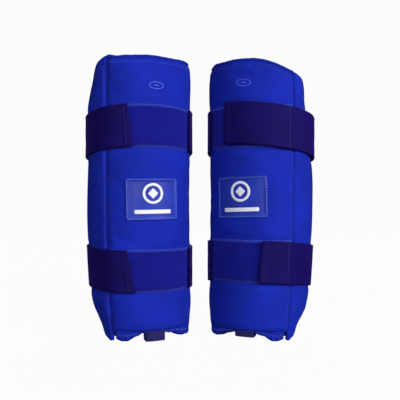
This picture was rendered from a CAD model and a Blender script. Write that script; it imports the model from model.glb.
"""Looks of a pair of padded forearm guards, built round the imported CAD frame.

Each guard is drawn in the CAD's own plan: front at y = 0, arm behind it, outer wing at -X,
inner wing at +X. place() then sets it down in the pair, and the right guard is its mirror image.
"""

import math

import bmesh
import bpy
import numpy as np
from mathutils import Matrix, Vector, noise
from mathutils.bvhtree import BVHTree


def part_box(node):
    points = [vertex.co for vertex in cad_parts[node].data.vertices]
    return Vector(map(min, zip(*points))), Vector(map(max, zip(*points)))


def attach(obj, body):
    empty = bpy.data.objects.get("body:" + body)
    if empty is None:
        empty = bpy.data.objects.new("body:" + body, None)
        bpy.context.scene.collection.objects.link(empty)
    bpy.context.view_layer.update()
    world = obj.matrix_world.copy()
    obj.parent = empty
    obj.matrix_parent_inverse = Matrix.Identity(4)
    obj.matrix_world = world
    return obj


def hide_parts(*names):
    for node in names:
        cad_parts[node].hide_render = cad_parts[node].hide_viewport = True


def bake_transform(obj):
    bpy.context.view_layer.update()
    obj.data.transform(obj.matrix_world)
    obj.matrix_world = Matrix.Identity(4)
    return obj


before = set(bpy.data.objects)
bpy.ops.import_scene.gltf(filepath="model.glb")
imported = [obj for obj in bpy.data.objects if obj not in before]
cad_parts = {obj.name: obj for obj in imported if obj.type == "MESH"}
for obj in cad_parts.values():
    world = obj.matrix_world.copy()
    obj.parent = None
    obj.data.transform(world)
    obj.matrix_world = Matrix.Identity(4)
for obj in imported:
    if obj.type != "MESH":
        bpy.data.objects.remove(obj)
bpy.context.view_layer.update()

# ---- Driving dimensions, in metres and radians ----

MM = 0.001
PITCH = 118 * MM
TOE_IN = math.radians(25)
AXIS_Y = 40 * MM
SET_BACK = -3.65 * MM
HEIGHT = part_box("left_rim_piping")[1].z
RIM_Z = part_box("left_front_cover")[1].z
HEM_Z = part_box("left_front_cover")[0].z - 3 * MM
BADGE_Z = sum(corner.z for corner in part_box("left_badge")) / 2
MARK_Z = sum(corner.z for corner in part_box("left_size_mark")) / 2

FRONT_R = 62 * MM
FRONT_HALF_W = 43.5 * MM
FRONT_T = 14.5 * MM
CREASE = math.radians(12.5)
WING_R = 49 * MM
WING_T = 10 * MM
WING_SPAN = math.radians(76)
WING_FOOT = 52 * MM  # height over which a wing thins towards its foot
SEAM_GAP = 0.25 * MM
FOOT_TAPER = {"left": 0.15, "right": 0.16}  # how far the outer half of a guard draws in at the foot
TAPER_HEIGHT = 150 * MM

STRAP_W = 40 * MM
STRAP_T = 1.8 * MM
HOOK_T = 0.9 * MM
LOOP_T = 1.2 * MM
FIT_GAP = 0.3 * MM
STRAP_GAP = 0.5 * MM
BACK_GAP = 1.8 * MM

FRONT_ANGLE = math.asin(FRONT_HALF_W / FRONT_R)
SEAM = np.array([FRONT_HALF_W, FRONT_R - FRONT_R * math.cos(FRONT_ANGLE)])
WING_DIR = FRONT_ANGLE + CREASE
WING_C = SEAM + WING_R * np.array([-math.sin(WING_DIR), math.cos(WING_DIR)])
WING_START = WING_DIR - math.pi / 2
WING_END = WING_START + WING_SPAN
WING_BACK_Y = WING_C[1] + WING_R * math.sin(WING_END)
MITRE_ANGLE = math.pi / 2 + FRONT_ANGLE + CREASE / 2
MITRE = np.array([math.cos(MITRE_ANGLE), math.sin(MITRE_ANGLE)])

STRAP_WING_MID = WING_R + STRAP_GAP + STRAP_T / 2
STRAP_FRONT_MID = FRONT_R + LOOP_T + FIT_GAP + HOOK_T + STRAP_T / 2
BACK_FOLD_Y = WING_BACK_Y + BACK_GAP + STRAP_T / 2
BACK_FOLD_ANGLE = math.asin((BACK_FOLD_Y - WING_C[1]) / STRAP_WING_MID)
BACK_FOLD_X = WING_C[0] + STRAP_WING_MID * math.cos(BACK_FOLD_ANGLE)


def front_fold():
    """Where a strap's run round the wing meets its run over the front, on the +X side."""
    centre = np.array([0, FRONT_R])
    apart = np.linalg.norm(WING_C - centre)
    line = (WING_C - centre) / apart
    along = (STRAP_FRONT_MID**2 - STRAP_WING_MID**2 + apart**2) / (2 * apart)
    across = math.sqrt(STRAP_FRONT_MID**2 - along**2)
    return centre + along * line + across * np.array([-line[1], line[0]])


FRONT_FOLD = front_fold()
FRONT_FOLD_ANGLE = math.asin(FRONT_FOLD[0] / STRAP_FRONT_MID)
FRONT_FOLD_WING_ANGLE = math.atan2(*(FRONT_FOLD - WING_C)[::-1])
ANCHOR_START = FRONT_FOLD_WING_ANGLE + 2 * MM / STRAP_WING_MID

# z is a strap's height at the front, tilt its fall towards the back and rise its climb towards the free
# end. end is where that end lies round the front, slant how far it leans, band_tilt the fall of its loop
# band and lean the way that its twill runs.
STRAPS = {
    ("left", "upper"): dict(
        z=204 * MM, tilt=math.radians(8), rise=0.0, end=math.radians(-22), slant=5.5 * MM,
        band_tilt=math.radians(8), lean=1.0,
    ),
    ("left", "lower"): dict(
        z=67 * MM, tilt=math.radians(-2.5), rise=0.0, end=math.radians(-22), slant=7.5 * MM,
        band_tilt=0.0, lean=1.0,
    ),
    ("right", "upper"): dict(
        z=203.5 * MM, tilt=math.radians(8.5), rise=0.065, end=math.radians(18), slant=0.0,
        band_tilt=math.radians(1), lean=-1.0,
    ),
    ("right", "lower"): dict(
        z=76 * MM, tilt=math.radians(6.5), rise=0.0, end=math.radians(-15), slant=3.5 * MM,
        band_tilt=0.0, lean=1.0,
    ),
}
GUARDS = ("left", "right")
LEVELS = ("upper", "lower")


# ---- Placing and mesh helpers ----


def foot_scale(x, z, guard):
    """Share by which a point's x is drawn in: the outer half of a guard narrows towards its foot."""
    low = np.clip(1 - z / TAPER_HEIGHT, 0, 1) ** 2
    return np.where(x < 0, 1 - FOOT_TAPER[guard] * low, 1.0)


def place(points, guard):
    """Points drawn in a guard's own plan, in the pair's frame."""
    p = np.asarray(points, float)
    c, s = math.cos(TOE_IN), math.sin(TOE_IN)
    x, y = p[..., 0] * foot_scale(p[..., 0], p[..., 2], guard), p[..., 1] - AXIS_Y
    out = np.stack([x * c - y * s - PITCH / 2, x * s + y * c + SET_BACK, p[..., 2]], axis=-1)
    if guard == "right":
        out[..., 0] *= -1
    return out


def unplace(points, guard):
    """The other way round from place()."""
    p = np.array(points, float)
    if guard == "right":
        p[..., 0] *= -1
    c, s = math.cos(TOE_IN), math.sin(TOE_IN)
    x, y = p[..., 0] + PITCH / 2, p[..., 1] - SET_BACK
    across = x * c + y * s
    across = across / foot_scale(across, p[..., 2], guard)
    return np.stack([across, -x * s + y * c + AXIS_Y, p[..., 2]], axis=-1)


def make(name, points, faces, guard, material, uvs=None):
    """A mesh object from points in a guard's plan. uvs holds one pair of metres for each point."""
    mesh = bpy.data.meshes.new(name)
    placed = place(points, guard)
    if guard == "right":
        faces = [tuple(reversed(f)) for f in faces]
    mesh.from_pydata([tuple(p) for p in placed], [], faces)
    if uvs is not None:
        layer = mesh.uv_layers.new(name="metres")
        corner = np.zeros(len(mesh.loops), np.int32)
        mesh.loops.foreach_get("vertex_index", corner)
        layer.data.foreach_set("uv", np.asarray(uvs, np.float32)[corner].ravel())
    mesh.materials.append(material)
    mesh.polygons.foreach_set("use_smooth", np.full(len(mesh.polygons), True))
    mesh.update()
    piece = bpy.data.objects.new(name, mesh)
    bpy.context.scene.collection.objects.link(piece)
    return piece


def grid_faces(nu, nv, first=0, wrap=False, flip=False):
    """Quads of a grid whose points run v fastest."""
    faces = []
    for i in range(nu if wrap else nu - 1):
        k = (i + 1) % nu
        for j in range(nv - 1):
            quad = (first + i * nv + j, first + k * nv + j, first + k * nv + j + 1, first + i * nv + j + 1)
            faces.append(tuple(reversed(quad)) if flip else quad)
    return faces


def shell(top, bottom, wrap=False):
    """Points and faces of a closed plate between two grids. A wrapped grid runs round a ring."""
    nu, nv = top.shape[:2]
    n = nu * nv
    points = np.concatenate([top.reshape(-1, 3), bottom.reshape(-1, 3)])
    faces = grid_faces(nu, nv, 0, wrap) + grid_faces(nu, nv, n, wrap, flip=True)
    at = lambda i, j: (i % nu) * nv + j
    for i in range(nu if wrap else nu - 1):
        faces.append((at(i + 1, 0), at(i, 0), at(i, 0) + n, at(i + 1, 0) + n))
        faces.append((at(i, nv - 1), at(i + 1, nv - 1), at(i + 1, nv - 1) + n, at(i, nv - 1) + n))
    if not wrap:
        for j in range(nv - 1):
            faces.append((at(0, j), at(0, j + 1), at(0, j + 1) + n, at(0, j) + n))
            end = nu - 1
            faces.append((at(end, j + 1), at(end, j), at(end, j) + n, at(end, j + 1) + n))
    return points, faces


def loft_faces(n, m, ring=False):
    """Faces of a tube of n closed sections of m points, capped, or joined end to end as a ring."""
    faces = []
    for i in range(n if ring else n - 1):
        k = (i + 1) % n
        for j in range(m):
            q = (j + 1) % m
            faces.append((i * m + j, i * m + q, k * m + q, k * m + j))
    if not ring:
        faces.append(tuple(reversed(range(m))))
        faces.append(tuple((n - 1) * m + j for j in range(m)))
    return faces


def run_length(path):
    """Distance along a path at each of its points."""
    return np.concatenate([[0], np.cumsum(np.linalg.norm(np.diff(path, axis=0), axis=1))])


def fix_normals(piece):
    """Turns a closed mesh's faces outwards."""
    bm = bmesh.new()
    bm.from_mesh(piece.data)
    bmesh.ops.recalc_face_normals(bm, faces=bm.faces)
    bm.to_mesh(piece.data)
    bm.free()
    return piece


def subdivide(piece, levels=1):
    """Applies a subdivision surface."""
    modifier = piece.modifiers.new("round", "SUBSURF")
    modifier.levels = modifier.render_levels = levels
    modifier.uv_smooth = "PRESERVE_BOUNDARIES"
    apply_modifiers(piece)
    return piece


def apply_modifiers(piece):
    graph = bpy.context.evaluated_depsgraph_get()
    mesh = bpy.data.meshes.new_from_object(piece.evaluated_get(graph))
    piece.modifiers.clear()
    piece.data = mesh


def coordinates(piece):
    co = np.zeros(len(piece.data.vertices) * 3, np.float32)
    piece.data.vertices.foreach_get("co", co)
    return co.reshape(-1, 3).astype(float)


def set_coordinates(piece, points):
    piece.data.vertices.foreach_set("co", np.asarray(points, np.float32).ravel())
    piece.data.update()


def rough(points, scale, seed):
    """Smooth noise in -1..1 at each point, with features about scale metres across."""
    shift = Vector((seed * 7.31, seed * 3.17, seed * 5.77))
    return np.array([noise.noise(Vector(p) / scale + shift) for p in points])


def noise_over(a, b, scale_a, scale_b, seed):
    """Smooth noise over two coordinates, in the shape of the first."""
    pairs = zip(np.ravel(a), np.ravel(np.broadcast_to(b, np.shape(a))))
    values = [noise.noise(Vector((x * scale_a, y * scale_b, seed))) for x, y in pairs]
    return np.array(values).reshape(np.shape(a))


def smoothstep(low, high, x):
    t = np.clip((x - low) / (high - low), 0, 1)
    return t * t * (3 - 2 * t)


def finish_piece(piece, body, slot, *nodes):
    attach(piece, body)
    if nodes:
        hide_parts(*nodes)
    return piece


# ---- Surfaces of a guard ----


def front_point(b, z, depth):
    """Point on the front panel, b round from its middle, depth in from the CAD's surface."""
    r = FRONT_R - depth
    return np.stack(np.broadcast_arrays(r * np.sin(b), FRONT_R - r * np.cos(b), z), axis=-1)


def wing_point(side, p, z, depth):
    """Point on a wing at polar angle p about the wing's centre; side is 1 inner, -1 outer."""
    r = WING_R - depth
    x = side * (WING_C[0] + r * np.cos(p))
    return np.stack(np.broadcast_arrays(x, WING_C[1] + r * np.sin(p), z), axis=-1)


def rounding(distance, radius):
    """Height of a round shoulder, 0 at an edge and 1 from radius inwards."""
    t = 1 - np.clip(distance / radius, 0, 1)
    return np.sqrt(np.clip(1 - t * t, 0, 1))


def strap_height(strap, y, tilt="tilt"):
    """Height of a strap's middle, or of its band's, that far back from the front."""
    return strap["z"] - math.tan(strap[tilt]) * y


def strap_press(guard, y, z):
    """1 where a strap or band presses the padding down, 0 away from them."""
    press = np.zeros(np.broadcast(y, z).shape)
    for level in LEVELS:
        away = np.abs(z - strap_height(STRAPS[guard, level], y)) - STRAP_W / 2
        press = np.maximum(press, 1 - smoothstep(0.5 * MM, 7 * MM, away))
    return press


# ---- Materials ----


class Shader:
    """A material's nodes, built by short calls."""

    def __init__(self, name, color, roughness, **sockets):
        self.material = bpy.data.materials.new(name)
        self.material.use_nodes = True
        self.tree = self.material.node_tree
        self.bsdf = self.tree.nodes["Principled BSDF"]
        self.bsdf.inputs["Base Color"].default_value = (*color, 1)
        self.bsdf.inputs["Roughness"].default_value = roughness
        for socket, value in sockets.items():
            self.bsdf.inputs[socket.replace("_", " ")].default_value = value

    def add(self, kind, **values):
        node = self.tree.nodes.new("ShaderNode" + kind)
        for key, value in values.items():
            if hasattr(node, key):
                setattr(node, key, value)
            else:
                self.put(node.inputs[key.replace("_", " ")], value)
        return node

    def put(self, socket, value):
        if isinstance(value, bpy.types.NodeSocket):
            self.tree.links.new(value, socket)
        else:
            socket.default_value = value

    def math(self, operation, a, b=0.0):
        node = self.add("Math", operation=operation)
        self.put(node.inputs[0], a)
        self.put(node.inputs[1], b)
        return node.outputs[0]

    def metres(self):
        """The piece's own flat coordinates: u and v sockets, in metres."""
        split = self.add("SeparateXYZ", Vector=self.add("UVMap", uv_map="metres").outputs[0])
        return split.outputs[0], split.outputs[1]

    def wave(self, value, pitch):
        """A sine along value with that pitch."""
        return self.math("SINE", self.math("MULTIPLY", value, 2 * math.pi / pitch))

    def noise(self, scale, detail=2.0, roughness=0.5):
        """Noise over the object, scale being features per metre."""
        place = self.add("TexCoord").outputs["Object"]
        node = self.add("TexNoise", Vector=place, Scale=scale, Detail=detail, Roughness=roughness)
        return node.outputs[0]

    def ramp(self, value, low, high, to_low=0.0, to_high=1.0):
        node = self.add("MapRange")
        for socket, v in zip(node.inputs[:5], (value, low, high, to_low, to_high)):
            self.put(socket, v)
        return node.outputs[0]

    def mix(self, factor, a, b):
        node = self.add("Mix", data_type="RGBA")
        self.put(node.inputs[0], factor)
        for socket, v in ((node.inputs[6], a), (node.inputs[7], b)):
            self.put(socket, (*v, 1) if isinstance(v, tuple) and len(v) == 3 else v)
        return node.outputs[2]

    def set(self, socket, value):
        self.put(self.bsdf.inputs[socket], value)

    def bump(self, height, distance, strength=1.0, normal=None):
        node = self.add("Bump", Height=height, Distance=distance, Strength=strength)
        if normal is not None:
            self.put(node.inputs["Normal"], normal)
        return node.outputs[0]


def shade(color, factor):
    return tuple(c * factor for c in color)


def cloth_material(name, color, pitch, roughness, sheen, variation=0.16):
    """Plain knitted or woven cloth: fine crossing ribs, soft tone changes and lint."""
    s = Shader(name, color, roughness, Sheen_Weight=sheen, Sheen_Roughness=0.45,
               Sheen_Tint=(0.03, 0.1, 1.0, 1), Specular_IOR_Level=0.14)
    u, v = s.metres()
    ribs = s.math("MULTIPLY", s.wave(u, pitch), s.wave(v, pitch))
    tone = s.noise(28, 3)
    fibre = s.noise(1900, 3, 0.7)
    dark, light = shade(color, 1 - variation), shade(color, 1 + variation)
    broad = s.mix(s.ramp(tone, 0.3, 0.7), dark, light)
    woven = s.mix(s.ramp(ribs, -1, 1, 0.32, 0), broad, shade(color, 0.45))
    flecks = s.ramp(fibre, 0.62, 0.8, 0, 0.35)
    s.set("Base Color", s.mix(flecks, woven, tuple(c * 1.25 + 0.004 for c in color)))
    s.set("Roughness", s.ramp(fibre, 0.3, 0.7, roughness - 0.1, min(1.0, roughness + 0.1)))
    weave = s.bump(ribs, 0.16 * MM, 0.55)
    s.set("Normal", s.bump(fibre, 0.35 * MM, 0.35, weave))
    return s.material


def elastic_material(name, color, lean):
    """Twill elastic: diagonal ribs, crossing fine picks, and a smoother selvage along each edge."""
    s = Shader(name, color, 0.62, Sheen_Weight=0.18, Sheen_Roughness=0.4,
               Sheen_Tint=(0.2, 0.05, 1.0, 1), Specular_IOR_Level=0.1)
    u, v = s.metres()
    slope = s.math("ADD", u, s.math("MULTIPLY", v, lean))
    twill = s.wave(slope, 2.3 * MM)
    picks = s.wave(v, 1.05 * MM)
    cords = s.wave(u, 0.8 * MM)
    tone = s.noise(40, 3)
    fibre = s.noise(2600, 2, 0.6)
    edge = s.ramp(s.math("ABSOLUTE", v), STRAP_W / 2 - 2.2 * MM, STRAP_W / 2 - 1.6 * MM)
    broad = s.mix(s.ramp(tone, 0.3, 0.7), shade(color, 0.82), shade(color, 1.2))
    ribbed = s.mix(s.ramp(twill, -1, 1, 0.75, 0), broad, shade(color, 0.25))
    lifted = s.mix(s.ramp(fibre, 0.56, 0.75, 0, 0.55), ribbed, tuple(c * 1.8 + 0.012 for c in color))
    s.set("Base Color", s.mix(s.math("MULTIPLY", edge, 0.55), lifted, shade(color, 0.6)))
    s.set("Roughness", s.ramp(fibre, 0.3, 0.7, 0.5, 0.75))
    height = s.math("ADD", s.math("MULTIPLY", twill, 0.6), s.math("MULTIPLY", picks, 0.3))
    height = s.math("ADD", height, s.math("MULTIPLY", cords, 0.2))
    s.set("Normal", s.bump(fibre, 0.2 * MM, 0.3, s.bump(height, 0.2 * MM, 0.8)))
    return s.material


def loop_material(name, color, selvage):
    """Napped loop tape: a mottled pile between two lighter woven edges."""
    s = Shader(name, color, 0.95, Sheen_Weight=0.35, Sheen_Roughness=0.6,
               Sheen_Tint=(0.08, 0.1, 1.0, 1), Specular_IOR_Level=0.1)
    u, v = s.metres()
    pile = s.noise(950, 4, 0.75)
    clumps = s.noise(210, 3, 0.6)
    body = s.mix(s.ramp(pile, 0.35, 0.66), shade(color, 0.5), shade(color, 1.5))
    body = s.mix(s.ramp(clumps, 0.4, 0.7, 0, 0.5), body, shade(color, 0.62))
    edge = s.ramp(s.math("ABSOLUTE", v), STRAP_W / 2 - 2.1 * MM, STRAP_W / 2 - 1.5 * MM)
    cords = s.wave(u, 1.1 * MM)
    woven = s.mix(s.ramp(cords, -1, 1), shade(selvage, 0.6), selvage)
    s.set("Base Color", s.mix(edge, body, woven))
    nap = s.math("MULTIPLY", pile, s.math("SUBTRACT", 1.0, edge))
    s.set("Normal", s.bump(nap, 0.9 * MM, 0.8, s.bump(cords, 0.12 * MM, 0.4)))
    return s.material


def vinyl_material(name, color):
    """Moulded soft vinyl with a faint pebble and rubbed high spots."""
    s = Shader(name, color, 0.45, Specular_IOR_Level=0.22, Coat_Weight=0.04, Coat_Roughness=0.35)
    pebble = s.noise(1500, 2, 0.5)
    tone = s.noise(60, 3)
    broad = s.mix(s.ramp(tone, 0.3, 0.7), shade(color, 0.86), shade(color, 1.18))
    paler = tuple(c * 1.3 + 0.02 for c in color)
    s.set("Base Color", s.mix(s.ramp(pebble, 0.55, 0.75, 0, 0.25), broad, paler))
    s.set("Roughness", s.ramp(tone, 0.3, 0.7, 0.34, 0.5))
    s.set("Normal", s.bump(pebble, 0.12 * MM, 0.5))
    return s.material


def print_material(name, color):
    """Printed or raised ink, slightly worn so that a little of the ground tints it."""
    s = Shader(name, color, 0.5, Specular_IOR_Level=0.4)
    wear = s.noise(900, 4, 0.7)
    s.set("Base Color", s.mix(s.ramp(wear, 0.6, 0.85, 0, 0.5), color, shade(color, 0.72)))
    s.set("Roughness", s.ramp(wear, 0.3, 0.7, 0.42, 0.62))
    s.set("Normal", s.bump(wear, 0.08 * MM, 0.4))
    return s.material


def thread_material(name, color):
    """Twisted sewing thread."""
    s = Shader(name, color, 0.5, Sheen_Weight=0.2, Specular_IOR_Level=0.45)
    twist = s.noise(3000, 2, 0.6)
    s.set("Base Color", s.mix(s.ramp(twist, 0.35, 0.65), shade(color, 0.65), shade(color, 1.25)))
    s.set("Normal", s.bump(twist, 0.1 * MM, 0.6))
    return s.material


def hook_material(name, color):
    """Moulded nylon hooks on a woven ground."""
    s = Shader(name, color, 0.35, Specular_IOR_Level=0.5)
    tone = s.noise(700, 2, 0.5)
    s.set("Base Color", s.mix(s.ramp(tone, 0.35, 0.65), shade(color, 0.7), shade(color, 1.4)))
    s.set("Roughness", s.ramp(tone, 0.3, 0.7, 0.28, 0.45))
    s.set("Normal", s.bump(tone, 0.1 * MM, 0.4))
    return s.material


COVER_BLUE = (0.0072, 0.0235, 0.47)
ELASTIC_INDIGO = (0.0072, 0.0015, 0.135)
LOOP_BLUE = (0.0070, 0.0085, 0.25)

MATERIALS = {
    "cover": cloth_material("cover_cloth", COVER_BLUE, 0.95 * MM, 0.78, 0.14),
    "piping": cloth_material("piping_cloth", shade(COVER_BLUE, 0.8), 0.7 * MM, 0.7, 0.15),
    "lining": cloth_material("lining_cloth", (0.012, 0.017, 0.19), 1.3 * MM, 0.9, 0.3, 0.22),
    "elastic_falling": elastic_material("elastic_webbing_falling", ELASTIC_INDIGO, 1.0),
    "elastic_rising": elastic_material("elastic_webbing_rising", ELASTIC_INDIGO, -1.0),
    "loop": loop_material("loop_tape", LOOP_BLUE, (0.035, 0.06, 0.46)),
    "hook": hook_material("hook_tape", (0.012, 0.009, 0.085)),
    "badge": vinyl_material("badge_vinyl", (0.012, 0.032, 0.40)),
    "white": print_material("white_print", (0.86, 0.88, 0.95)),
    "mark": print_material("mark_print", (0.06, 0.10, 0.72)),
    "thread": thread_material("thread", (0.045, 0.075, 0.62)),
    "badge_thread": thread_material("badge_thread", (0.20, 0.28, 0.80)),
    "dark_thread": thread_material("dark_thread", (0.03, 0.03, 0.3)),
    "ribbon": elastic_material("ribbon_elastic", (0.03, 0.027, 0.18), 0.0),
}


# ---- Padded panels ----

SEAM_OUT, SEAM_IN = 2.2 * MM, 6.2 * MM  # depths between which a panel's long edge is sewn
RIM_OUT, RIM_IN = 1.3 * MM, 4.6 * MM  # the same along its top
HEM_OUT, HEM_IN = 2.6 * MM, 12.6 * MM  # and where the front meets its hem
PAD_STEP = 3.2 * MM
SIM_FRAMES = 20
CLOTH_PRESSURE = 4
CLOTH_MOVE = 1.6 * MM  # the most that the cloth simulation may move a point
RIM_LIFT = {"left": 3.4 * MM, "right": 0.8 * MM}
RIM_DROP = {"left": 0.0, "right": 12.5 * MM}  # fall of the rim towards the outer seam
RIM_CORNER = {"left": 0.8 * MM, "right": 3.4 * MM}  # and at the inner seam
PINCH = {"left": 1.0 * MM, "right": 0.0}  # gathered corner by the outer seam


def rim_z(guard, u):
    """Top of the front panel at u, from -1 at the outer seam to 1 at the inner one."""
    u = np.asarray(u, float)
    outer = smoothstep(0.15, 1.25, -u) / float(smoothstep(0.15, 1.25, 1.0))
    inner = smoothstep(0.8, 1.02, u)
    wave = 0.35 * MM * np.sin(7.0 * u + (2.1 if guard == "left" else 0.4))
    pinch = PINCH[guard] * np.exp(-(((u + 0.78) / 0.1) ** 2))
    return RIM_Z + RIM_LIFT[guard] - RIM_DROP[guard] * outer - RIM_CORNER[guard] * inner + wave - pinch


def front_grid(guard, face):
    """One face of the front panel: points, and flat coordinates in metres."""
    nu = round(2 * FRONT_ANGLE * FRONT_R / PAD_STEP) + 1
    nv = round((RIM_Z - HEM_Z) / PAD_STEP) + 1
    u = np.linspace(-1, 1, nu)[:, None] * np.ones(nv)
    top = rim_z(guard, u)
    z = HEM_Z + (top - HEM_Z) * np.linspace(0, 1, nv)[None, :]
    sag = 1 - rounding((1 - np.abs(u)) * FRONT_ANGLE * FRONT_R, 7 * MM)
    sag_top = 1 - rounding(top - z, 6 * MM)
    sag_hem = 1 - rounding(z - HEM_Z, 8 * MM)
    if face == "out":
        y = FRONT_R - FRONT_R * np.cos(u * FRONT_ANGLE)
        full = 0.1 * MM + 0.5 * MM * strap_press(guard, y, z)
        drops = (SEAM_OUT - full) * sag, (RIM_OUT - full) * sag_top, (HEM_OUT - full) * sag_hem
        depth = full + np.maximum.reduce(drops)
    else:
        full = FRONT_T - 0.3 * MM
        drops = (full - SEAM_IN) * sag, (full - RIM_IN) * sag_top, (full - HEM_IN) * sag_hem
        depth = full - np.maximum.reduce(drops)
    reach = FRONT_ANGLE - (depth * math.tan(CREASE / 2) + SEAM_GAP) / (FRONT_R - depth)
    return front_point(u * reach, z, depth), np.stack([FRONT_R * u * FRONT_ANGLE, z], -1)


WING_LOW = 0.9 * MM
WING_HEIGHT_MID = 132 * MM
TOP_FULLNESS = {"left": 1.7, "right": 1.25}  # 2 is an ellipse, and less is nearer a parabola
FOOT_FULLNESS = 1.4
FOOT_TUCK = {"left": (14 * MM, 36 * MM), "right": (20 * MM, 30 * MM)}  # how far, and over what height
INNER_TOP_TUCK = (4.5 * MM, 60 * MM)
TOP_TUCK = {"left": INNER_TOP_TUCK, "right": (8.5 * MM, 110 * MM)}  # the same for an outer wing's top


def wing_top(guard, side):
    """Height at which a wing's free edge comes back to the seam."""
    return float(rim_z(guard, side)) + 0.9 * MM


def wing_edge(guard, side, z):
    """Polar angle of a wing's free edge at height z. It curves in to the seam above and below."""
    above = wing_top(guard, side) - WING_HEIGHT_MID
    below = WING_HEIGHT_MID - 0.5 * MM
    share = np.abs(z - WING_HEIGHT_MID) / np.where(z > WING_HEIGHT_MID, above, below)
    power = np.where(z > WING_HEIGHT_MID, TOP_FULLNESS[guard], FOOT_FULLNESS)
    y = SEAM[1] + (WING_BACK_Y - SEAM[1]) * np.sqrt(np.clip(1 - share**power, 0, 1))
    angle = np.arcsin(np.clip((y - WING_C[1]) / WING_R, -1, 1))
    return np.minimum(angle, WING_END) - 1.2 * MM / WING_R


def wing_grid(guard, side, face):
    """One face of a wing, from its seam to its free edge."""
    top = wing_top(guard, side)
    nv = round((top - WING_LOW) / PAD_STEP) + 1
    nu = round(WING_SPAN * WING_R / PAD_STEP) + 1
    z = np.linspace(WING_LOW, top, nv)[None, :] * np.ones((nu, 1))
    u = np.linspace(0, 1, nu)[:, None] * np.ones(nv)
    edge = np.maximum(wing_edge(guard, side, z), WING_START + 2.0 * MM / WING_R)
    width = (edge - WING_START) * WING_R
    thin = rounding(np.minimum(top - z, 30 * MM), 18 * MM) * 0.9 + 0.1
    thin = thin * (0.35 + 0.65 * smoothstep(0, 0.8 * WING_FOOT, z))
    sag = 1 - rounding(u * width, 5 * MM)
    sag_edge = 1 - rounding((1 - u) * width, 9 * MM) * rounding(z - WING_LOW, 9 * MM)
    away = smoothstep(6 * MM, 34 * MM, u * width)
    far, reach = TOP_TUCK[guard] if side < 0 else INNER_TOP_TUCK
    deep, tall = FOOT_TUCK[guard]
    tuck = deep * np.clip(1 - z / tall, 0, 1) ** 1.5 * away
    tuck = tuck + far * (1 - smoothstep(-0.1 * reach, reach, top - z)) * away
    middle = WING_START + u * (edge - WING_START)
    y = WING_C[1] + WING_R * np.sin(middle)
    if face == "out":
        full = WING_SWELL + 0.4 * MM * strap_press(guard, y, z)
        drops = (SEAM_OUT - full) * sag, (SEAM_OUT - full) * sag_edge, (SEAM_OUT - full) * (1 - thin)
        depth = full + np.maximum.reduce(drops)
    else:
        full = SEAM_IN + (WING_T - 0.2 * MM - SEAM_IN) * thin
        depth = full - np.maximum.reduce(((full - SEAM_IN) * sag, (full - SEAM_IN) * sag_edge))
    start = WING_START + (depth * math.tan(CREASE / 2) + SEAM_GAP) / (WING_R - depth)
    p = start + u * (edge - start)
    return wing_point(side, p, z, depth + tuck), np.stack([u * width, z], -1)


WING_SWELL = -0.2 * MM  # how far a wing's face stands in from the CAD's, before the cloth swells


def panel(name, guard, grids):
    """Closed padded panel from its two faces, pinned along its sewn edges and blown up as cloth."""
    (out, out_uv), (arm, arm_uv) = grids
    nu, nv = out.shape[:2]
    points, faces = shell(out, arm)
    uvs = np.concatenate([out_uv.reshape(-1, 2), arm_uv.reshape(-1, 2)])
    piece = fix_normals(make(name, points, faces, guard, MATERIALS["cover"], uvs))
    rim = np.zeros((nu, nv), bool)
    rim[[0, -1], :] = rim[:, [0, -1]] = True
    inflate(piece, guard, np.concatenate([rim.ravel(), rim.ravel()]))
    return subdivide(piece)


def inflate(piece, guard, pins):
    """Blows a panel up as cloth with its sewn edges pinned, and caps how far each point moves."""
    before = coordinates(piece)
    group = piece.vertex_groups.new(name="sewn")
    group.add([int(i) for i in np.flatnonzero(pins)], 1.0, "REPLACE")
    cloth = piece.modifiers.new("cloth", "CLOTH")
    settings = cloth.settings
    settings.quality = 6
    settings.mass = 0.25
    settings.tension_stiffness = settings.compression_stiffness = 12
    settings.shear_stiffness = 6
    settings.bending_stiffness = 0.6
    settings.shrink_min = -0.01
    settings.use_pressure = True
    settings.uniform_pressure_force = CLOTH_PRESSURE
    settings.vertex_group_mass = "sewn"
    settings.effector_weights.gravity = 0
    cloth.collision_settings.use_collision = False
    scene = bpy.context.scene
    for step in range(1, SIM_FRAMES + 1):
        scene.frame_set(step)
    blown = piece.evaluated_get(bpy.context.evaluated_depsgraph_get())
    after = np.zeros(len(before) * 3, np.float32)
    blown.data.vertices.foreach_get("co", after)
    after = after.reshape(-1, 3).astype(float)
    piece.modifiers.clear()
    piece.vertex_groups.clear()
    scene.frame_set(1)
    move = after - before
    local = unplace(before, guard)
    cap = CLOTH_MOVE * (1 - 0.94 * strap_press(guard, local[:, 1], local[:, 2]))
    size = np.linalg.norm(move, axis=1)
    soft = cap * np.tanh(size / np.maximum(cap, 1e-6))
    set_coordinates(piece, before + move * (soft / np.maximum(size, 1e-9))[:, None])


def point_normals(piece):
    normals = np.zeros(len(piece.data.vertices) * 3, np.float32)
    piece.data.vertices.foreach_get("normal", normals)
    return normals.reshape(-1, 3).astype(float)


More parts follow.
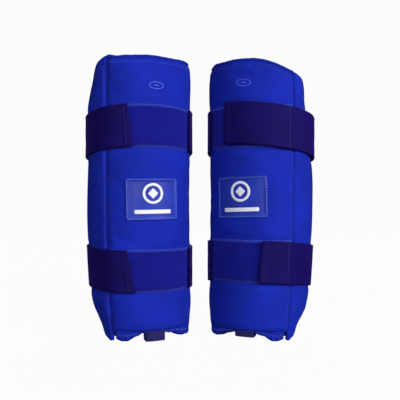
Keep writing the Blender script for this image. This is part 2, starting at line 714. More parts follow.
def pucker(piece, guard, seam_away, top_at, seed, hem=True):
    """Gathers the cloth a little along its seams, its rim and its hem, and dents it softly."""
    co = coordinates(piece)
    local = unplace(co, guard)
    z = local[:, 2]
    away = seam_away(local)
    below = np.maximum(top_at(local) - z, 0)
    press = strap_press(guard, local[:, 1], z)
    ripple = rough(np.stack([z, away * 0.25, 0 * z], -1), 7 * MM, seed)
    gather = rough(np.stack([local[:, 0], local[:, 1], z * 0.15], -1), 6 * MM, seed + 3)
    broad = rough(local, 45 * MM, seed + 5)
    lift = 0.4 * MM * ripple * np.exp(-away / (5 * MM)) * (1 - press)
    lift += 0.3 * MM * gather * np.exp(-below / (6 * MM))
    lift += 0.45 * MM * broad * (1 - press)
    if hem:
        lift += 0.8 * MM * gather * np.exp(-np.abs(z - HEM_Z) / (9 * MM))
    set_coordinates(piece, co + point_normals(piece) * lift[:, None])


def front_seam_away(local):
    b = np.arctan2(local[:, 0], FRONT_R - local[:, 1])
    return np.maximum(FRONT_ANGLE - np.abs(b), 0) * FRONT_R


def wing_seam_away(local):
    p = np.arctan2(local[:, 1] - WING_C[1], np.abs(local[:, 0]) - WING_C[0])
    return np.maximum(p - WING_START, 0) * WING_R


def lining(name, guard, grid):
    """Thin lining cloth laid on a panel's arm side, with its flat size and its area."""
    arm, uv = grid
    inner, inner_uv = arm[1:-1, 1:-1], uv[1:-1, 1:-1]
    normal = np.cross(np.gradient(inner, axis=0), np.gradient(inner, axis=1))
    normal /= np.linalg.norm(normal, axis=-1, keepdims=True)
    to_arm = (np.array([0, AXIS_Y + 6 * MM, 0]) - inner) * np.array([1, 1, 0])
    normal *= np.sign(np.sum(normal * to_arm, axis=-1, keepdims=True))
    cloth = rough(inner.reshape(-1, 3), 22 * MM, 9).reshape(inner.shape[:2])[..., None]
    top = inner + normal * (2.0 * MM + 0.3 * MM * cloth)
    points, faces = shell(top, inner + normal * 1.2 * MM)
    uvs = np.concatenate([inner_uv.reshape(-1, 2)] * 2)
    piece = fix_normals(make(name, points, faces, guard, MATERIALS["lining"], uvs))
    rows = np.linalg.norm(np.diff(top, axis=0), axis=-1).sum(axis=0)
    columns = np.linalg.norm(np.diff(top, axis=1), axis=-1).sum(axis=1)
    across = np.linalg.norm(np.cross(np.gradient(top, axis=0), np.gradient(top, axis=1)), axis=-1)
    weight = np.ones(top.shape[:2])
    weight[[0, -1], :] *= 0.5
    weight[:, [0, -1]] *= 0.5
    flat = float(rows.max()), float(columns.max())
    return piece, flat, min(float((across * weight).sum()), flat[0] * flat[1])


# ---- Tubes, stitches and trim ----


def tube(path, radius, sides=12):
    """Points, faces and flat coordinates of a closed tube along a path."""
    path = np.asarray(path, float)
    n = len(path)
    radius = np.broadcast_to(radius, (n,))
    tangent = np.gradient(path, axis=0)
    tangent /= np.linalg.norm(tangent, axis=1, keepdims=True)
    outward = path - np.array([0, AXIS_Y, 0])
    outward[:, 2] *= 0.02
    side = np.cross(tangent, outward)
    side /= np.linalg.norm(side, axis=1, keepdims=True)
    lift = np.cross(side, tangent)
    turn = np.linspace(0, 2 * math.pi, sides, endpoint=False)
    ring = side[:, None] * np.cos(turn)[None, :, None] + lift[:, None] * np.sin(turn)[None, :, None]
    points = path[:, None] + ring * radius[:, None, None]
    uv = np.stack(np.broadcast_arrays(run_length(path)[:, None], turn[None, :] * radius[:, None]), -1)
    return points.reshape(-1, 3), loft_faces(n, sides), uv.reshape(-1, 2)


def evenly(path, step, start=0.0):
    """Points a step apart along a path, with the direction at each."""
    path = np.asarray(path, float)
    length = run_length(path)
    at = np.arange(start, length[-1], step)
    find = lambda where: np.stack([np.interp(where, length, path[:, k]) for k in range(3)], -1)
    direction = find(at + 0.3 * step) - find(at - 0.3 * step)
    return find(at), direction / np.maximum(np.linalg.norm(direction, axis=1, keepdims=True), 1e-12)


STITCH_ALONG = np.array([-1, -0.72, 0, 0.72, 1])
STITCH_FAT = np.array([0.35, 0.85, 1, 0.85, 0.35])
STITCH_SINK = np.array([-1.5, -0.4, 0, -0.4, -1.5])
STITCH_SIDES = 6
# Pitch, length and thread radius of each kind of stitch
RIM_STITCH = 3.1 * MM, 2.3 * MM, 0.26 * MM
SEAM_STITCH = 3.4 * MM, 2.1 * MM, 0.24 * MM
BADGE_STITCH = 2.7 * MM, 1.7 * MM, 0.32 * MM
BAND_STITCH = 2.9 * MM, 2.0 * MM, 0.24 * MM
STRAP_STITCH = 2.9 * MM, 1.9 * MM, 0.24 * MM


class Stitching:
    """Collects sewn stitches, each a bead whose ends dive into the cloth, into one mesh."""

    def __init__(self):
        self.points, self.faces, self.count = [], [], 0

    def add(self, points, directions, normals, length, radius):
        turn = np.linspace(0, 2 * math.pi, STITCH_SIDES, endpoint=False)
        rings = len(STITCH_ALONG)
        for p, d, n in zip(points, directions, normals):
            n = n - d * np.dot(n, d)
            n /= np.linalg.norm(n)
            side = np.cross(d, n)
            middle = p + d * (STITCH_ALONG * length / 2)[:, None] + n * (STITCH_SINK * radius)[:, None]
            ring = side * np.cos(turn)[:, None] + n * np.sin(turn)[:, None]
            bead = middle[:, None] + ring[None] * (STITCH_FAT * radius)[:, None, None]
            self.points.append(bead.reshape(-1, 3))
            first = self.count
            for i in range(rings - 1):
                a, b = first + i * STITCH_SIDES, first + (i + 1) * STITCH_SIDES
                for j in range(STITCH_SIDES):
                    k = (j + 1) % STITCH_SIDES
                    self.faces.append((a + j, b + j, b + k, a + k))
            self.faces.append(tuple(first + j for j in range(STITCH_SIDES)))
            last = first + (rings - 1) * STITCH_SIDES
            self.faces.append(tuple(last + j for j in reversed(range(STITCH_SIDES))))
            self.count += rings * STITCH_SIDES

    def row(self, path, normals_at, pitch, length, radius):
        points, directions = evenly(path, pitch, 1 * MM)
        self.add(points, directions, normals_at(points), length, radius)

    def build(self, name, guard, material):
        return fix_normals(make(name, np.concatenate(self.points), self.faces, guard, material))


class Skin:
    """The finished outer face of the front panel, for laying trim on it."""

    def __init__(self, piece, guard):
        self.tree = BVHTree.FromPolygons(
            [Vector(p) for p in unplace(coordinates(piece), guard)],
            [tuple(f.vertices) for f in piece.data.polygons],
        )

    def front(self, b, z, lift):
        """Points at angle b and height z, lifted off the cloth."""
        shape = np.broadcast(b, z, lift).shape
        flat = [np.broadcast_to(v, shape).ravel() for v in (b, z, lift)]
        out = []
        for bi, zi, li in zip(*flat):
            away = Vector((math.sin(bi), -math.cos(bi), 0))
            axis = Vector((0, FRONT_R, zi))
            hit = self.tree.ray_cast(axis + away * 0.09, -away, 0.05)[0]
            r = (hit - axis).length if hit is not None else FRONT_R
            out.append(axis + away * (r + li))
        return np.array(out).reshape(*shape, 3)


def wing_row(piece, guard, side, in_from_seam, z):
    """Line up a wing's outer face, beside its seam."""
    skin = Skin(piece, guard)
    p = WING_START + in_from_seam / WING_R
    away = Vector((side * math.cos(p), math.sin(p), 0))
    row = []
    for height in z:
        axis = Vector((side * WING_C[0], WING_C[1], height))
        hit = skin.tree.ray_cast(axis + away * 0.09, -away, 0.06)[0]
        if hit is not None:
            row.append(tuple(hit))
    return np.array(row)


def front_normals(points):
    n = points - np.array([0, FRONT_R, 0])
    n[..., 2] = 0
    return n / np.linalg.norm(n, axis=-1, keepdims=True)


def wing_normals(side):
    def normals(points):
        n = points - np.array([side * WING_C[0], WING_C[1], 0])
        n[..., 2] = 0
        return n / np.linalg.norm(n, axis=-1, keepdims=True)

    return normals


# ---- Front panel and what is sewn to it ----


def rounded_outline(w, h, r, count=160):
    """Points round a rounded rectangle, evenly spread."""
    dense = []
    for qx, qz, first in ((1, 1, 0), (-1, 1, 90), (-1, -1, 180), (1, -1, 270)):
        for t in np.radians(np.linspace(first, first + 90, 24)):
            dense.append((qx * (w / 2 - r) + r * math.cos(t), qz * (h / 2 - r) + r * math.sin(t)))
    dense = np.array(dense + dense[:1])
    length = run_length(dense)
    at = np.linspace(0, length[-1], count, endpoint=False)
    return np.stack([np.interp(at, length, dense[:, k]) for k in range(2)], -1)


def turned(flat, centre, turn):
    """Flat points turned and moved to their place on the front, as x and z."""
    c, s = math.cos(turn), math.sin(turn)
    return flat[:, 0] * c - flat[:, 1] * s + centre[0], flat[:, 0] * s + flat[:, 1] * c + centre[1]


def medallion(name, guard, skin, centre, turn, outline, profile, material, hole=False):
    """Raised plate on the front. profile holds (share of the outline, inset, lift) from its foot inwards."""
    step = np.roll(outline, -1, axis=0) - np.roll(outline, 1, axis=0)
    outward = np.stack([step[:, 1], -step[:, 0]], -1)
    outward /= np.linalg.norm(outward, axis=1, keepdims=True)
    rings = []
    for share, inset, lift in profile:
        x, z = turned(outline * share - outward * inset, centre, turn)
        rings.append((x, z, lift + 0 * x))
    x, z, lift = (np.array([r[k] for r in rings]) for k in range(3))
    points = skin.front(x / FRONT_R, z, lift)
    faces = loft_faces(*points.shape[:2], ring=hole)
    uv = np.stack([x, z], -1).reshape(-1, 2)
    return fix_normals(make(name, points.reshape(-1, 3), faces, guard, material, uv))


def laid_shape(name, guard, skin, centre, turn, outline, low, high, material):
    """Flat printed shape, low to high above the cloth, with softened edges."""
    inset = 0.22 * MM
    profile = [(1, 0, low), (1, 0, high - inset * 0.6), (1, inset, high)]
    profile += [(share, inset * share, high) for share in (0.8, 0.6, 0.4, 0.2, 0.05)]
    return medallion(name, guard, skin, centre, turn, outline, profile, material)


def laid_ring(name, guard, skin, centre, turn, outline, wide, low, high, material):
    """Printed ring of even width following an outline."""
    soft = 0.2 * MM
    profile = [(1, 0, low), (1, 0, high - soft * 0.6), (1, soft, high), (1, wide - soft, high),
               (1, wide, high - soft * 0.6), (1, wide, low)]
    return medallion(name, guard, skin, centre, turn, outline, profile, material, hole=True)


BADGE_W, BADGE_H = 51.5 * MM, 39.6 * MM
BADGE_FIELD = 0.8 * MM  # height of a badge's field off the cloth
EMBLEM_SIZE = 39 * MM  # what the emblem's places and radius are shares of
PRINT_LIFT = 0.4 * MM
BADGE_AT = {"left": (-2.8 * MM, BADGE_Z - 0.3 * MM), "right": (3.6 * MM, BADGE_Z + 1.6 * MM)}
BADGE_TURN = {"left": math.radians(0.9), "right": math.radians(-1.8)}
MARK_AT = {"left": (0.8 * MM, MARK_Z + 1.0 * MM), "right": (1.0 * MM, MARK_Z + 3.8 * MM)}
MARK_TURN = {"left": math.radians(-0.8), "right": math.radians(5.5)}


def build_badge(guard, skin):
    at, turn = BADGE_AT[guard], BADGE_TURN[guard]
    outline = rounded_outline(BADGE_W, BADGE_H, 1.8 * MM)
    profile = [(1, 0, -0.8 * MM), (1, 0, 0.5 * MM), (1, 0.15 * MM, 0.95 * MM), (1, 0.6 * MM, 1.25 * MM),
               (1, 1.2 * MM, 1.3 * MM), (1, 1.8 * MM, 1.1 * MM), (1, 2.2 * MM, BADGE_FIELD)]
    rest = np.linspace(0.9, 0.02, 22)
    profile += [(share, 2.2 * MM * share, BADGE_FIELD) for share in rest]
    plate = medallion(guard + "_badge_plate", guard, skin, at, turn, outline, profile, MATERIALS["badge"])
    finish_piece(plate, guard + "_guard", "badge_vinyl", guard + "_badge")

    white = MATERIALS["white"]
    heights = PRINT_LIFT, BADGE_FIELD + PRINT_LIFT
    up = np.array([-math.sin(turn), math.cos(turn)])
    ring_at = tuple(np.array(at) + up * EMBLEM_SIZE * 0.14)
    bar_at = tuple(np.array(at) - up * EMBLEM_SIZE * 0.3)
    ring_r = EMBLEM_SIZE * 0.25
    circle = rounded_outline(2 * ring_r, 2 * ring_r, ring_r - 1e-6, 120)
    lozenge = rounded_outline(7.0 * MM, 7.0 * MM, 0.4 * MM, 80)
    bar = rounded_outline(35 * MM, 3.8 * MM, 0.6 * MM, 160)
    tilted = turn + math.pi / 4
    shapes = [
        laid_ring(guard + "_emblem_ring", guard, skin, ring_at, turn, circle, 2.4 * MM, *heights, white),
        laid_shape(guard + "_emblem_lozenge", guard, skin, ring_at, tilted, lozenge, *heights, white),
        laid_shape(guard + "_emblem_bar", guard, skin, bar_at, turn, bar, *heights, white),
    ]
    for k, piece in enumerate(shapes):
        finish_piece(piece, guard + "_guard", "white_print", *([guard + "_badge_print"] if k == 0 else []))

    mark_at, turn, ink = MARK_AT[guard], MARK_TURN[guard], MATERIALS["mark"]
    heights = -0.3 * MM, 0.35 * MM
    oval = oval_outline(14.6 * MM, 7.2 * MM)
    mark = laid_ring(guard + "_size_oval", guard, skin, mark_at, turn, oval, 0.8 * MM, *heights, ink)
    finish_piece(mark, guard + "_guard", "mark_print", guard + "_size_mark")
    stroke = rounded_outline(4.5 * MM, 1.1 * MM, 0.3 * MM, 60)
    dash = laid_shape(guard + "_size_dash", guard, skin, mark_at, turn, stroke, *heights, ink)
    finish_piece(dash, guard + "_guard", "mark_print")
    return outline


def oval_outline(w, h, count=96):
    t = np.linspace(0, 2 * math.pi, count, endpoint=False)
    return np.stack([w / 2 * np.cos(t), h / 2 * np.sin(t)], -1)


def build_rim(guard):
    """Bound edge along the top of the front."""
    u = np.linspace(-1, 1, 140)
    z = rim_z(guard, u) + 0.4 * MM + 0.25 * MM * noise_over(u, 3, 9, 1, 1)
    depth = (RIM_OUT + RIM_IN) / 2 - 0.4 * MM
    reach = FRONT_ANGLE - 0.5 * MM / FRONT_R
    path = front_point(u * reach, z, depth)
    radius = 1.9 * MM * (0.8 + 0.2 * rounding((1 - np.abs(u)) * FRONT_HALF_W, 2 * MM))
    points, faces, uv = tube(path, radius, 14)
    piece = fix_normals(make(guard + "_rim_binding", points, faces, guard, MATERIALS["piping"], uv))
    finish_piece(piece, guard + "_guard", "piping_cloth", guard + "_rim_piping")


HEM_OUTER_END = -0.945  # share of the half width, which leaves the outer wing room to fold
GROUND_GAP = 0.05 * MM


def hem_bottom(guard, u):
    """Lower edge of the gathered hem: down on the ground by both seams, drawn up between them."""
    lift = 6.8 * MM * smoothstep(-0.72, -0.3, u) * (1 - smoothstep(0.35, 0.98, u))
    lift += 3.0 * MM * (1 - smoothstep(-1.0, -0.82, u))
    wave = 0.9 * MM * np.sin(23 * u + (1.3 if guard == "left" else 0.2)) * smoothstep(-0.6, -0.3, u)
    return np.maximum(lift + wave * (1 - smoothstep(0.3, 0.8, u)), 0) + GROUND_GAP


def build_hem(guard):
    nu, nv = 150, 9
    u = np.linspace(HEM_OUTER_END, 1, nu)[:, None] * np.ones(nv)
    v = np.linspace(0, 1, nv)[None, :] * np.ones((nu, 1))
    bottom = hem_bottom(guard, u)
    z = bottom + (HEM_Z + 2.2 * MM - bottom) * v
    seed = 31 if guard == "left" else 37
    folds, fine = noise_over(u, v, 13, 0.7, seed), noise_over(u, v, 34, 1.1, seed + 5)
    band = np.exp(-(((v - 0.42) / 0.16) ** 2))
    out = 2.4 * MM + 2.6 * MM * (1 - v) ** 1.5 + (1.9 * MM * folds + 0.9 * MM * fine) * (1 - 0.5 * v)
    out += 0.4 * MM * band + 1.0 * MM * v**2
    out += 1.2 * MM * (1 - rounding(v, 0.14))
    arm = 11.6 * MM + 0.6 * MM * folds - 1.2 * MM * (1 - rounding(v, 0.14))
    arm = arm - 4.6 * MM * (1 - smoothstep(-0.95, -0.7, u))
    out = np.minimum(out, arm - 1.2 * MM)
    reach = lambda depth: FRONT_ANGLE - (depth * math.tan(CREASE / 2) + SEAM_GAP) / (FRONT_R - depth)
    top = front_point(u * reach(out), z, out)
    points, faces = shell(top, front_point(u * reach(arm), z, arm))
    uv = np.stack([FRONT_R * u * FRONT_ANGLE, z], -1).reshape(-1, 2)
    uvs = np.concatenate([uv, uv])
    piece = fix_normals(make(guard + "_gathered_hem", points, faces, guard, MATERIALS["cover"], uvs))
    finish_piece(piece, guard + "_guard", "cover_cloth", guard + "_bottom_hem")
    return top


RIBBON_LOW = {"left": 0.7 * MM, "right": 4.6 * MM}
RIBBON_SKEW = {"left": 1, "right": 0.4}


def build_hand_loop(guard):
    """Ribbon that hangs in front of the hem, turns under it and is sewn again inside it."""
    low = RIBBON_LOW[guard]
    line = [
        (0.4, 10.5 * MM), (0.9, 8 * MM), (1.0, low + 3 * MM), (1.1, low + 0.9 * MM), (1.7, low + 0.15 * MM),
        (3.2, low), (7, low + 0.2 * MM), (11, low), (12.6, low + 0.3 * MM), (13.2, low + 1.2 * MM),
        (13.4, 6.5 * MM), (13.3, 11 * MM),
    ]
    line = np.array([(d * MM, z) for d, z in line])
    t = np.linspace(0, len(line) - 1, 60)
    depth = np.interp(t, range(len(line)), line[:, 0])
    z = np.interp(t, range(len(line)), line[:, 1])
    half = 10.2 * MM / FRONT_R
    b = math.radians(0.3) + np.linspace(-half, half, 13)
    slope_d, slope_z = np.gradient(depth), np.gradient(z)
    size = np.hypot(slope_d, slope_z)
    thick = 0.4 * MM
    skew = 1.6 * MM * np.linspace(-1, 1, 13)[None, :] * smoothstep(9 * MM, 2 * MM, z)[:, None]
    sides = []
    for sign in (-1, 1):
        d = depth + sign * thick * -slope_z / size
        zz = z + sign * thick * slope_d / size
        zz = np.maximum(zz[:, None] - skew * RIBBON_SKEW[guard] * (z[:, None] > low + MM), 0.25 * MM)
        sides.append(front_point(b[None, :], zz, d[:, None]))
    points, faces = shell(sides[1], sides[0])
    along = np.concatenate([[0], np.cumsum(np.hypot(np.diff(depth), np.diff(z)))])
    uv = np.stack(np.broadcast_arrays(along[:, None], (b[None, :] - b.mean()) * FRONT_R), -1).reshape(-1, 2)
    name = guard + "_hand_ribbon"
    piece = fix_normals(make(name, points, faces, guard, MATERIALS["ribbon"], np.concatenate([uv, uv])))
    finish_piece(piece, guard + "_guard", "ribbon", guard + "_hand_loop")


def build_loop_band(guard, level, skin):
    """Band of loop tape across the front, sewn down along both edges."""
    strap = STRAPS[guard, level]
    nu, nv = 76, 21
    u = np.linspace(-1, 1, nu)[:, None] * np.ones(nv)
    t = np.linspace(-1, 1, nv)[None, :] * np.ones((nu, 1))
    b = u * (FRONT_ANGLE - 1.6 * MM / FRONT_R)
    y = FRONT_R - FRONT_R * np.cos(b)
    upright = math.cos(strap["band_tilt"])
    z = strap_height(strap, y, "band_tilt") + t * (STRAP_W / 2 + 0.4 * MM) / upright
    edge = rounding((1 - np.abs(t)) * STRAP_W / 2, 0.9 * MM)
    pile = 1 - np.exp(-(((np.abs(t) * STRAP_W / 2 - 17.6 * MM) / (0.7 * MM)) ** 2))
    seed = 3 if level == "upper" else 7
    nap = noise_over(u, t, 31, 13, seed)
    high = (0.25 + 0.95 * edge * (0.72 + 0.28 * pile)) * MM + 0.16 * MM * nap * edge
    points, faces = shell(skin.front(b, z, high), skin.front(b, z, -0.5 * MM))
    uv = np.stack([b * FRONT_R, t * STRAP_W / 2], -1).reshape(-1, 2)
    name = f"{guard}_{level}_loop_tape"
    piece = fix_normals(make(name, points, faces, guard, MATERIALS["loop"], np.concatenate([uv, uv])))
    finish_piece(piece, guard + "_guard", "loop_tape", f"{guard}_{level}_loop_band")
    rows = []
    for sign in (-1, 1):
        edge_z = strap_height(strap, y[:, 0], "band_tilt") + sign * 18.2 * MM / upright
        rows.append(skin.front(b[:, 0], edge_z, 1.0 * MM))
    return rows


def build_front_threads(guard, skin, badge_outline, hem_top, band_rows):
    """Rim line, seam lines, badge edge and band edges, which all move with the guard."""
    light, dark = Stitching(), Stitching()
    u = np.linspace(-0.93, 0.93, 120)
    rim = skin.front(u * FRONT_ANGLE, rim_z(guard, u) - 4.8 * MM, 0.05 * MM)
    (light if guard == "left" else dark).row(rim, front_normals, *RIM_STITCH)
    for side in (-1, 1) if guard == "right" else (1,):
        z = np.linspace(HEM_Z + 3 * MM, float(rim_z(guard, side)) - 8 * MM, 240)
        seam = skin.front(side * (FRONT_ANGLE - 2.3 * MM / FRONT_R), z, 0.0)
        light.row(seam, front_normals, *SEAM_STITCH)
    inner = badge_outline * np.array([1 - 3.0 * MM / BADGE_W, 1 - 3.0 * MM / BADGE_H])
    flat = np.stack(turned(inner, BADGE_AT[guard], BADGE_TURN[guard]), -1)
    flat = np.concatenate([flat, flat[:1]])
    edge = skin.front(flat[:, 0] / FRONT_R, flat[:, 1], 1.32 * MM)
    badge_row = Stitching()
    badge_row.row(edge, front_normals, *BADGE_STITCH)
    zig = hem_top[:, 3:6]
    zag = np.array([zig[i, 0 if (i // 2) % 2 else 2] for i in range(0, len(zig), 2)])
    zag = zag + front_normals(zag) * 0.15 * MM
    middle, along = (zag[1:] + zag[:-1]) / 2, zag[1:] - zag[:-1]
    size = np.linalg.norm(along, axis=1, keepdims=True)
    light.add(middle, along / size, front_normals(middle), 2.6 * MM, 0.22 * MM)
    for row in band_rows:
        dark.row(row, front_normals, *BAND_STITCH)
    piece = light.build(guard + "_front_stitches", guard, MATERIALS["thread"])
    finish_piece(piece, guard + "_guard", "thread", guard + "_seam_threads")
    piece = badge_row.build(guard + "_badge_stitches", guard, MATERIALS["badge_thread"])
    finish_piece(piece, guard + "_guard", "thread")
    piece = dark.build(guard + "_band_stitches", guard, MATERIALS["dark_thread"])
    finish_piece(piece, guard + "_guard", "thread")


def build_front(guard):
    body = guard + "_guard"
    grids = front_grid(guard, "out"), front_grid(guard, "in")
    piece = panel(guard + "_front_pad", guard, grids)
    top_at = lambda local: rim_z(guard, np.arctan2(local[:, 0], FRONT_R - local[:, 1]) / FRONT_ANGLE)
    pucker(piece, guard, front_seam_away, top_at, 1 if guard == "left" else 2)
    finish_piece(piece, body, "cover_cloth", guard + "_front_cover", guard + "_front_foam")
    cloth, flat, area = lining(guard + "_front_lining_cloth", guard, grids[1])
    finish_piece(cloth, body, "lining_cloth", guard + "_front_lining")
    return Skin(piece, guard)


# ---- Wings ----


def build_wing(guard, which):
    side = 1 if which == "inner" else -1
    body = f"{guard}_{which}_wing"
    grids = wing_grid(guard, side, "out"), wing_grid(guard, side, "in")
    piece = panel(f"{body}_pad", guard, grids)
    top = wing_top(guard, side)
    seed = 11 + side + (5 if guard == "right" else 0)
    pucker(piece, guard, wing_seam_away, lambda local: top + 0 * local[:, 2], seed, hem=False)
    finish_piece(piece, body, "cover_cloth", body + "_cover", body + "_foam")
    cloth, flat, area = lining(f"{body}_lining_cloth", guard, grids[1])
    finish_piece(cloth, body, "lining_cloth", body + "_lining")
    if guard == "left" and which == "outer":
        threads = Stitching()
        row = wing_row(piece, guard, side, 2.6 * MM, np.linspace(HEM_Z + 8 * MM, top - 9 * MM, 240))
        threads.row(row, wing_normals(side), *SEAM_STITCH)
        finish_piece(threads.build(body + "_stitches", guard, MATERIALS["thread"]), body, "thread")
    build_wing_binding(guard, body, grids)
    build_gusset(guard, side, body)


def build_wing_binding(guard, body, grids):
    """Bound free edge of a wing, from its foot round to the top of the seam."""
    edge = (grids[0][0][-1] + grids[1][0][-1]) / 2
    lead = (grids[0][0][:, -1] + grids[1][0][:, -1]) / 2
    path = np.concatenate([edge, lead[::-1][1:]])
    path, _ = evenly(path, 1.5 * MM)
    n = len(path)
    radius = 1.8 * MM * (0.5 + 0.5 * rounding(np.minimum(np.arange(n), n - 1 - np.arange(n)) * MM, 3 * MM))
    points, faces, uv = tube(path, radius, 12)
    piece = fix_normals(make(f"{body}_binding", points, faces, guard, MATERIALS["piping"], uv))
    finish_piece(piece, body, "piping_cloth")


def build_gusset(guard, side, body):
    """Cloth in the groove between the front and a wing, which stretches as the wing folds."""
    mirror = np.array([side, 1])
    inward = MITRE * mirror
    across = np.array([-MITRE[1], MITRE[0]]) * mirror
    across *= np.sign(across[1])
    z = np.linspace(HEM_Z, wing_top(guard, side) - 2 * MM, 90)
    seam = SEAM * mirror
    rings = []
    t = np.linspace(-2.6, 2.6, 9) * MM
    for depth in (SEAM_OUT + 0.25 * MM, SEAM_IN - 0.3 * MM):
        flat = seam + inward * depth + across * t[:, None]
        wave = 0.3 * MM * noise_over(z, side, 160, 1, 4)
        grid = np.concatenate([
            np.broadcast_to(flat[None], (len(z), 9, 2)) + inward * wave[:, None, None],
            np.broadcast_to(z[:, None, None], (len(z), 9, 1)),
        ], axis=-1)
        rings.append(grid)
    points, faces = shell(*rings)
    uv = np.stack(np.broadcast_arrays(t[None, :], z[:, None]), -1).reshape(-1, 2)
    name = f"{body}_seam_gusset"
    piece = fix_normals(make(name, points, faces, guard, MATERIALS["piping"], np.concatenate([uv, uv])))
    start = seam + inward * 4 * MM - across * 1.2 * MM
    end = seam + inward * 4 * MM + across * 1.2 * MM
    start, end = (place(np.array([*p, HEIGHT / 2]), guard) for p in (start, end))
    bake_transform(piece)


# ---- Straps ----

BEND = 15 * MM  # length over which a strap turns as it opens


def strap_plan():
    """A strap's line in plan, from the inner seam round the back and over the front, and its folds."""
    def arc(centre, r, start, end, mirror=1):
        a = np.arange(0, 1.0001, 1 / 60) * (end - start) + start
        return np.stack([mirror * (centre[0] + r * np.cos(a)), centre[1] + r * np.sin(a)], -1)

    anchor = arc(WING_C, STRAP_WING_MID, ANCHOR_START, BACK_FOLD_ANGLE)
    back = np.array([[BACK_FOLD_X, BACK_FOLD_Y], [-BACK_FOLD_X, BACK_FOLD_Y]])
    side = arc(WING_C, STRAP_WING_MID, BACK_FOLD_ANGLE, FRONT_FOLD_WING_ANGLE, mirror=-1)
    start = math.pi / 2 - FRONT_FOLD_ANGLE
    over = arc((0, FRONT_R), -STRAP_FRONT_MID, start, start + math.radians(80))
    line = np.concatenate([anchor, back, side, over])
    keep = np.concatenate([[True], np.linalg.norm(np.diff(line, axis=0), axis=1) > 1e-6])
    return line[keep]


def along_strap(end):
    """Evenly spaced plan points of a strap whose end lies at that angle round the front, and distances."""
    line = strap_plan()
    length = run_length(line)
    step = 0.8 * MM
    s = np.arange(0, length[-1], step)
    points = np.stack([np.interp(s, length, line[:, k]) for k in range(2)], -1)
    width = 5
    kernel = np.exp(-0.5 * (np.arange(-3 * width, 3 * width + 1) / width) ** 2)
    kernel /= kernel.sum()
    head = 2 * points[0] - points[1:3 * width + 1][::-1]
    tail = 2 * points[-1] - points[-3 * width - 1:-1][::-1]
    padded = np.concatenate([head, points, tail])
    smooth = np.stack([np.convolve(padded[:, k], kernel, "valid") for k in range(2)], -1)

    def where(target):
        return float(s[np.argmin(np.linalg.norm(points - target, axis=1))])

    marks = {
        "back_in": where(np.array([BACK_FOLD_X, BACK_FOLD_Y])),
        "back_mid": where(np.array([0, BACK_FOLD_Y])),
        "back_out": where(np.array([-BACK_FOLD_X, BACK_FOLD_Y])),
        "side_mid": where(WING_C * (-1, 1) + STRAP_WING_MID * np.array([-math.cos(0.2), math.sin(0.2)])),
        "front": where(np.array([-FRONT_FOLD[0], FRONT_FOLD[1]])),
        "end": where(np.array([STRAP_FRONT_MID * math.sin(end), FRONT_R - STRAP_FRONT_MID * math.cos(end)])),
    }
    return s, smooth, marks


def on_plan(s, plan, at):
    """A strap's plan point at distance at, and the outward direction there."""
    (x, y), ahead, behind = (
        [np.interp(at + step, s, plan[:, k]) for k in range(2)] for step in (0, 0.5 * MM, -0.5 * MM)
    )
    tx, ty = ahead[0] - behind[0], ahead[1] - behind[1]
    size = np.hypot(tx, ty)
    return x, y, ty / size, -tx / size


def web_profile():
    """Cross-section of the webbing: (share of half the width, share of half the thickness), right round."""
    t = np.array([-1, -0.985, -0.95, -0.9, -0.86, -0.6, -0.3, 0, 0.3, 0.6, 0.86, 0.9, 0.95, 0.985, 1])
    edge = np.array([0.0, 0.62, 1.0, 1.0, 0.86, 0.9, 0.92, 0.92, 0.92, 0.9, 0.86, 1.0, 1.0, 0.62, 0.0])
    across = np.concatenate([t, t[-2:0:-1]])
    thick = np.concatenate([edge, -edge[-2:0:-1]])
    return across, thick


def web(name, guard, level, s_range, material, thickness=STRAP_T, half=STRAP_W / 2, shift=0.0, slant=0.0,
        hem=False, step=0.7 * MM):
    """Webbing along a strap between two distances, as a closed mesh with round selvages."""
    strap = STRAPS[guard, level]
    s, plan, marks = along_strap(strap["end"])
    across, thick = web_profile()
    count = max(4, int(round((s_range[1] - s_range[0]) / step)) + 1)
    at = np.linspace(s_range[0], s_range[1], count)
    lean = smoothstep(s_range[1] - 14 * MM, s_range[1], at) if slant else 0 * at
    ss = at[:, None] - lean[:, None] * slant * across[None, :] / 2
    x, y, nx, ny = on_plan(s, plan, ss)
    profile = np.ones_like(ss)
    lump = np.zeros_like(ss)
    if hem:
        from_end = s_range[1] - at[:, None] + 0 * ss
        lump = 0.7 * MM * (1 - smoothstep(6.0 * MM, 6.9 * MM, from_end)) * np.ones_like(ss)
        lump -= 0.55 * MM * np.exp(-(((from_end - 4.9 * MM) / (0.5 * MM)) ** 2))
        profile = 0.25 + 0.75 * rounding(from_end, 1.0 * MM)
    ripple = noise_over(ss, across, 60, 2, 3 if level == "upper" else 6)
    off = thick[None, :] * thickness / 2 * profile + shift
    off = off + (lump + 0.22 * MM * ripple) * (thick[None, :] > -0.5) * (shift == 0)
    corner = half
    if hem and strap["slant"] == 0:
        from_end = s_range[1] - at[:, None]
        corner = half - 2.4 * MM * (1 - rounding(from_end, 3.2 * MM))
    middle = strap_height(strap, y) + strap["rise"] * np.maximum(ss - marks["front"], 0)
    z = middle + across[None, :] * corner / math.cos(strap["tilt"])
    points = np.stack([x + nx * off, y + ny * off, z], -1)
    faces = loft_faces(*points.shape[:2])
    uv = np.stack(np.broadcast_arrays(ss, across[None, :] * half), -1).reshape(-1, 2)
    return fix_normals(make(name, points.reshape(-1, 3), faces, guard, MATERIALS[material], uv))


def strap_point(guard, level, s_at, t=0.0, off=0.0):
    """Point on a strap's line at distance s_at, t of half the width up and off outwards."""
    strap = STRAPS[guard, level]
    s, plan, marks = along_strap(strap["end"])
    s_at = np.asarray(s_at, float)
    x, y, nx, ny = on_plan(s, plan, s_at)
    z = strap_height(strap, y) + strap["rise"] * np.maximum(s_at - marks["front"], 0)
    z = z + t * STRAP_W / 2 / math.cos(strap["tilt"])
    return np.stack(np.broadcast_arrays(x + nx * off, y + ny * off, z), -1)


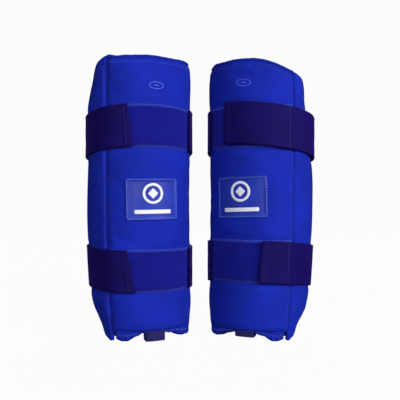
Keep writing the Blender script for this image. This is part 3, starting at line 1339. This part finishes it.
def blend_at(piece, guard, level, fold):
    """Lets a strap piece turn just after the fold at distance fold."""
    ends = strap_point(guard, level, np.array([fold - 2 * MM, fold + BEND]))
    start, end = place(ends, guard)
    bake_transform(piece)


def build_strap(guard, level):
    name = f"{guard}_{level}_strap"
    strap = STRAPS[guard, level]
    falling = strap["lean"] > 0 if guard == "left" else strap["lean"] < 0
    elastic = "elastic_falling" if falling else "elastic_rising"
    _, _, marks = along_strap(strap["end"])
    end_body = name + "_end"
    runs = (
        ("anchor_web", (0.0, marks["back_mid"]), guard + "_guard", name + "_back", "back_in",
         (name + "_anchor", name + "_back")),
        ("side_web", (marks["back_mid"], marks["side_mid"]), name + "_back", name + "_side", "back_out",
         (name + "_side",)),
        ("end_web", (marks["side_mid"], marks["end"]), name + "_side", end_body, "front", (name + "_front",)),
    )
    for label, span, a, b, fold, nodes in runs:
        last = label == "end_web"
        slant = strap["slant"] if last else 0.0
        piece = web(f"{name}_{label}", guard, level, span, elastic, slant=slant, hem=last)
        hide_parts(*nodes)
        blend_at(piece, guard, level, marks[fold])

    hook_start, hook_end = marks["front"] + 3.2 * MM, marks["end"] - 1.2 * MM
    drop = -(STRAP_T / 2 + HOOK_T / 2 - 0.25 * MM)
    hook = web(f"{name}_hook_backing", guard, level, (hook_start, hook_end), "hook", thickness=HOOK_T * 0.75,
               half=STRAP_W / 2 - 1.4 * MM, shift=drop, slant=strap["slant"])
    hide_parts(f"{guard}_{level}_hook_tape")
    blend_at(hook, guard, level, marks["front"])

    threads = Stitching()
    lean = strap["slant"]
    rows = [(marks["end"] - 4.9 * MM, lean * 0.75)]
    if guard == "right":
        rows.append((marks["front"] - 3.5 * MM, 0.0))
    for s0, slant in rows:
        t = np.linspace(-0.9, 0.9, 60)
        path = strap_point(guard, level, s0 - slant * t / 2, t, STRAP_T / 2 + 0.06 * MM)
        threads.row(path, front_normals, *STRAP_STITCH)
    piece = threads.build(name + "_stitches", guard, MATERIALS["dark_thread"])
    blend_at(piece, guard, level, marks["front"])


# ---- Build both guards ----

for guard in GUARDS:
    skin = build_front(guard)
    badge_outline = build_badge(guard, skin)
    build_rim(guard)
    hem_top = build_hem(guard)
    build_hand_loop(guard)
    band_rows = [row for level in LEVELS for row in build_loop_band(guard, level, skin)]
    build_front_threads(guard, skin, badge_outline, hem_top, band_rows)
    for which in ("outer", "inner"):
        build_wing(guard, which)
    for level in LEVELS:
        build_strap(guard, level)


# ---- Stage, light and camera ----


def stage_plane(name, size, location, rotation, glow):
    material = bpy.data.materials.new(name)
    material.use_nodes = True
    bsdf = material.node_tree.nodes["Principled BSDF"]
    bsdf.inputs["Base Color"].default_value = (0.01, 0.01, 0.01, 1)
    bsdf.inputs["Roughness"].default_value = 0.9
    bsdf.inputs["Specular IOR Level"].default_value = 0.0
    bsdf.inputs["Emission Color"].default_value = (1, 1, 1, 1)
    bsdf.inputs["Emission Strength"].default_value = glow
    bpy.ops.mesh.primitive_plane_add(size=size, location=location, rotation=rotation)
    plane = bpy.context.object
    plane.name = name
    plane.data.materials.append(material)
    plane.visible_diffuse = False
    plane.visible_glossy = False


stage_plane("studio_floor", 8, (0, 0, -0.4 * MM), (0, 0, 0), 0.97)
stage_plane("studio_backdrop", 8, (0, 3.2, 1), (math.pi / 2, 0, 0), 0.97)


def area_light(name, location, target, size, power):
    data = bpy.data.lights.new(name, "AREA")
    data.shape = "DISK"
    data.size = size
    data.energy = power
    lamp = bpy.data.objects.new(name, data)
    lamp.location = location
    lamp.rotation_mode = "QUATERNION"
    lamp.rotation_quaternion = (Vector(target) - Vector(location)).to_track_quat("-Z", "Y")
    bpy.context.scene.collection.objects.link(lamp)


area_light("key_light", (1.25, -1.12, 0.62), (0, 0, 0.14), 0.8, 22)
area_light("fill_light", (0.1, -1.7, 0.45), (0, 0, 0.13), 0.9, 13)
area_light("left_light", (-1.3, -1.0, 0.5), (0, 0, 0.13), 0.8, 3.2)
area_light("top_light", (0.3, 0.1, 1.5), (0, 0, 0.2), 0.7, 2.5)
area_light("back_light", (0.3, 1.7, 1.2), (0, 0, 0.13), 0.9, 14)

world = bpy.data.worlds.new("studio")
world.use_nodes = True
world.node_tree.nodes["Background"].inputs["Color"].default_value = (1, 1, 1, 1)
world.node_tree.nodes["Background"].inputs["Strength"].default_value = 0.05
bpy.context.scene.world = world

camera_data = bpy.data.cameras.new("camera")
camera_data.sensor_width = 36
camera_data.lens = 58.05
camera = bpy.data.objects.new("camera", camera_data)
camera.location = (0, -0.648, 0.134)
camera.rotation_euler = (math.pi / 2, 0, 0)
bpy.context.scene.collection.objects.link(camera)
bpy.context.scene.camera = camera
bpy.context.scene.view_settings.view_transform = "Standard"
